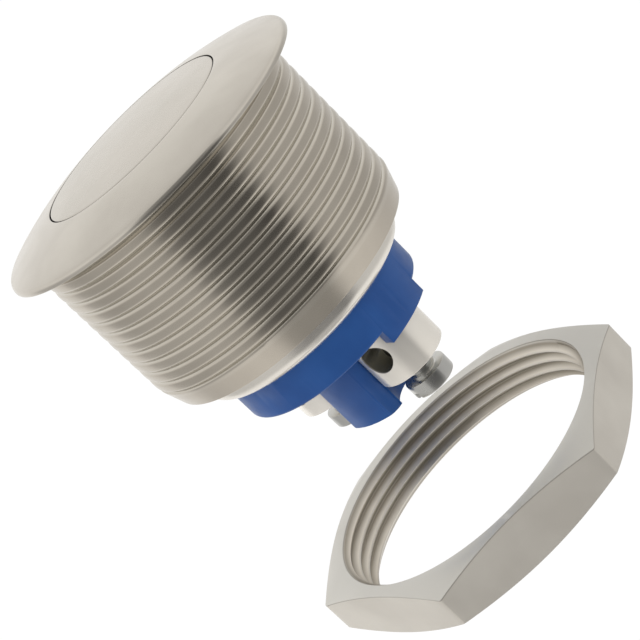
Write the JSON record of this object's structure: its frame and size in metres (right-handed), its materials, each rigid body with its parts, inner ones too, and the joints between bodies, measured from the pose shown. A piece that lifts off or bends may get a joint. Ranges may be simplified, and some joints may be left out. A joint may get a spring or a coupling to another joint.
{
  "type": "anti vandal push button",
  "caption": "Panel-mount anti vandal push button: threaded metal housing with a flush domed button, a plastic base with screw terminals, and a hexagon panel nut shown taken off.",
  "frame": {"origin": "on the barrel's axis, at the flange's seat, where it meets the panel", "axes": "+Z along the barrel's axis, out of the button's face towards the user; the two terminals lie along X, and the wires leave them towards -Y"},
  "size_m": [0.0386, 0.0368, 0.0518],
  "materials": {
    "nickel_satin": "satin nickel plate over turned brass",
    "button_nickel": "satin nickel plate over turned brass",
    "nut_nickel": "satin nickel plate over turned brass",
    "terminal_nickel": "bright nickel plate",
    "screw_zinc": "zinc plate",
    "base_blue": "moulded, semi-gloss",
    "guide_black": "moulded, matt",
    "plunger_white": "moulded, matt",
    "seal_rubber": "matt",
    "spring_steel": "drawn wire",
    "contact_brass": "bare stamped strip",
    "contact_silver": "bright"
  },
  "bodies": {
    "switch": {"housing": "nickel_satin", "base": "base_blue", "base_gasket": "seal_rubber", "guide_plate": "guide_black", "terminal_post_a": "terminal_nickel", "terminal_post_b": "terminal_nickel", "fixed_contact_a": "contact_brass", "fixed_contact_b": "contact_brass", "fixed_tip_a": "contact_silver", "fixed_tip_b": "contact_silver", "return_spring": "spring_steel"},
    "button": {"button": "button_nickel", "button_seal": "seal_rubber", "plunger": "plunger_white", "bridge_clip": "spring_steel", "contact_spring": "spring_steel"},
    "bridge": {"contact_bridge": "contact_brass", "bridge_tip_a": "contact_silver", "bridge_tip_b": "contact_silver"},
    "screw_a": {"terminal_screw_a": "screw_zinc"},
    "screw_b": {"terminal_screw_b": "screw_zinc"},
    "nut": {"panel_nut": "nut_nickel"}
  },
  "joints": [
    {"name": "button_press", "type": "slide", "parent": "switch", "child": "button", "axis": [0, 0, -1], "range_m": [0, 0.002], "stiffness_N_per_m": 1000, "springref_m": -0.002, "deforming": ["return_spring"]},
    {"name": "bridge_lift", "type": "slide", "parent": "button", "child": "bridge", "axis": [0, 0, 1], "range_m": [0, 0.00053], "deforming": ["contact_spring"]},
    {"name": "screw_a_clamp", "type": "slide", "parent": "switch", "child": "screw_a", "axis": [0, 0, 1], "range_m": [0, 0.0017]},
    {"name": "screw_b_clamp", "type": "slide", "parent": "switch", "child": "screw_b", "axis": [0, 0, 1], "range_m": [0, 0.0017]},
    {"name": "nut_run", "type": "slide", "parent": "switch", "child": "nut", "axis": [0, 0, 1], "range_m": [0, 0.04135]}
  ],
  "couplings": [
    {"joint": "bridge_lift", "follows": "button_press", "ratio": 0.26}
  ]
}
